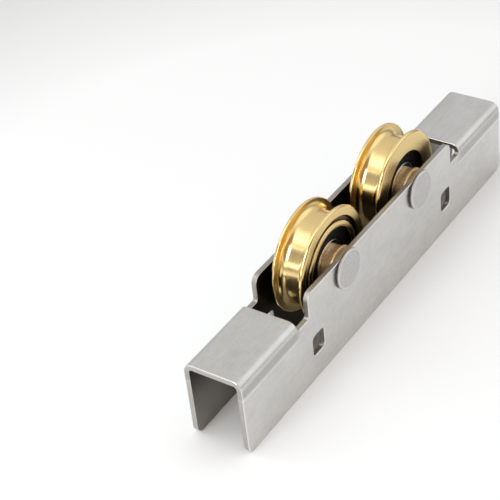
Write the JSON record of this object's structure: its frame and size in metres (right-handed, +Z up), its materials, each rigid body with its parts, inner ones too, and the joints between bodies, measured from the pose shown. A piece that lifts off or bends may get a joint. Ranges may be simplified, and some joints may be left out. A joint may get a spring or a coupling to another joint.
{
  "type": "sliding door roller",
  "caption": "Bent steel channel open along its foot, holding grooved brass wheels in line on riveted axles between raised side tabs, for a sliding door on a ribbed track.",
  "frame": {"origin": "middle of the footprint, on the plane of the two wall edges the channel stands on", "axes": "+X along the channel towards the rear wheel, +Y across it towards the closed rivet ends, +Z up from the wall edges towards the wheels"},
  "size_m": [0.132, 0.0184, 0.0379],
  "materials": {
    "bent_sheet": "satin stainless sheet",
    "wheel_brass": "polished, finely turned",
    "bearing_steel": "ground bearing steel",
    "cage_plastic": "moulded",
    "seal_rubber": "matte black",
    "spacer_bronze": "turned bronze, slightly dulled",
    "rivet_steel": "matte grey plated"
  },
  "bodies": {
    "frame": {"channel_frame": "bent_sheet", "front_axle_rivet": "rivet_steel", "front_spacer_near": "spacer_bronze", "front_spacer_far": "spacer_bronze", "front_bearing_inner_ring": "bearing_steel", "rear_axle_rivet": "rivet_steel", "rear_spacer_near": "spacer_bronze", "rear_spacer_far": "spacer_bronze", "rear_bearing_inner_ring": "bearing_steel"},
    "front_wheel_set": {"front_wheel": "wheel_brass", "front_bearing_outer_ring": "bearing_steel", "front_seal_near": "seal_rubber", "front_seal_far": "seal_rubber"},
    "rear_wheel_set": {"rear_wheel": "wheel_brass", "rear_bearing_outer_ring": "bearing_steel", "rear_seal_near": "seal_rubber", "rear_seal_far": "seal_rubber"},
    "front_ball_set": {"front_bearing_balls": "bearing_steel", "front_ball_cage": "cage_plastic"},
    "rear_ball_set": {"rear_bearing_balls": "bearing_steel", "rear_ball_cage": "cage_plastic"}
  },
  "joints": [
    {"name": "front_wheel_spin", "type": "hinge", "parent": "frame", "child": "front_wheel_set", "pos_m": [-0.0186, 0, 0.0229], "axis": [0, 1, 0], "continuous": true},
    {"name": "rear_wheel_spin", "type": "hinge", "parent": "frame", "child": "rear_wheel_set", "pos_m": [0.0186, 0, 0.0229], "axis": [0, 1, 0], "continuous": true},
    {"name": "front_ball_orbit", "type": "hinge", "parent": "frame", "child": "front_ball_set", "pos_m": [-0.0186, 0, 0.0229], "axis": [0, 1, 0], "continuous": true},
    {"name": "rear_ball_orbit", "type": "hinge", "parent": "frame", "child": "rear_ball_set", "pos_m": [0.0186, 0, 0.0229], "axis": [0, 1, 0], "continuous": true}
  ],
  "couplings": [
    {"joint": "front_ball_orbit", "follows": "front_wheel_spin", "ratio": 0.6272},
    {"joint": "rear_ball_orbit", "follows": "rear_wheel_spin", "ratio": 0.6272}
  ]
}
